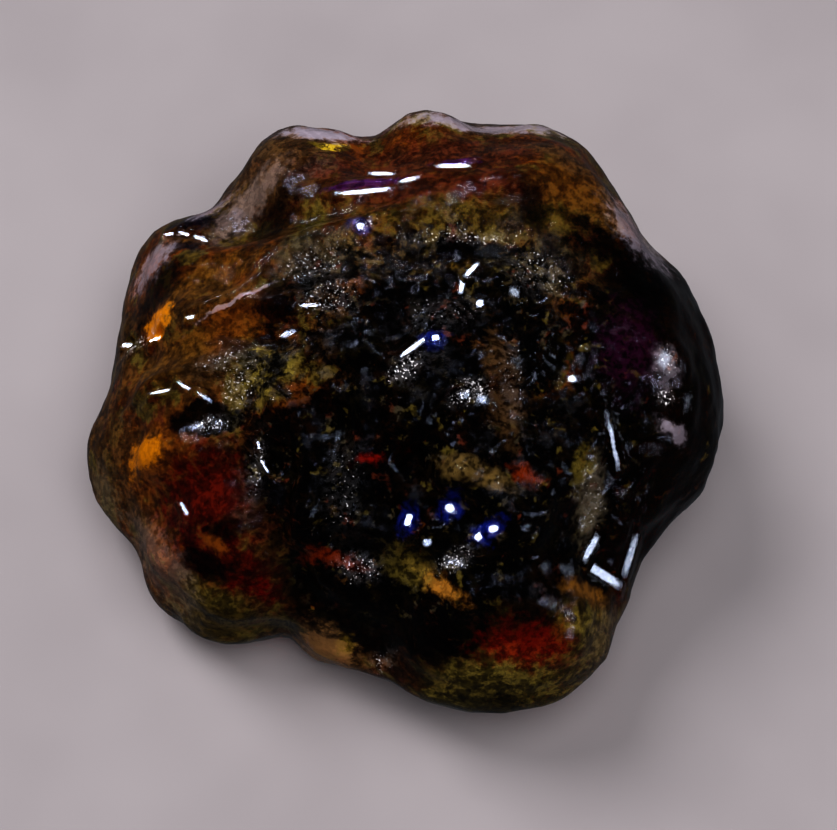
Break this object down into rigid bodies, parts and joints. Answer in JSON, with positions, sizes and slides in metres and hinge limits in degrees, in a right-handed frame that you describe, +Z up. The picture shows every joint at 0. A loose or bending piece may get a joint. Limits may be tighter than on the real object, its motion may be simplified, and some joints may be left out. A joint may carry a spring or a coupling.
{
  "type": "rough blue amber nodule",
  "caption": "Rough amber nodule with smooth overlapping lobes round its margin, a pitted crown and a small natural flat that it rests on.",
  "frame": {"origin": "middle of the bounding box, on the surface that the nodule rests on", "axes": "+Z up, through the nodule's short height; -Y towards the picture's viewer; +X to the picture's right"},
  "size_m": [0.0434, 0.0412, 0.0211],
  "materials": {
    "amber": "glossy natural resin, dark brown to orange, see-through where thin"
  },
  "bodies": {
    "root": {"amber": "amber"}
  },
  "joints": []
}
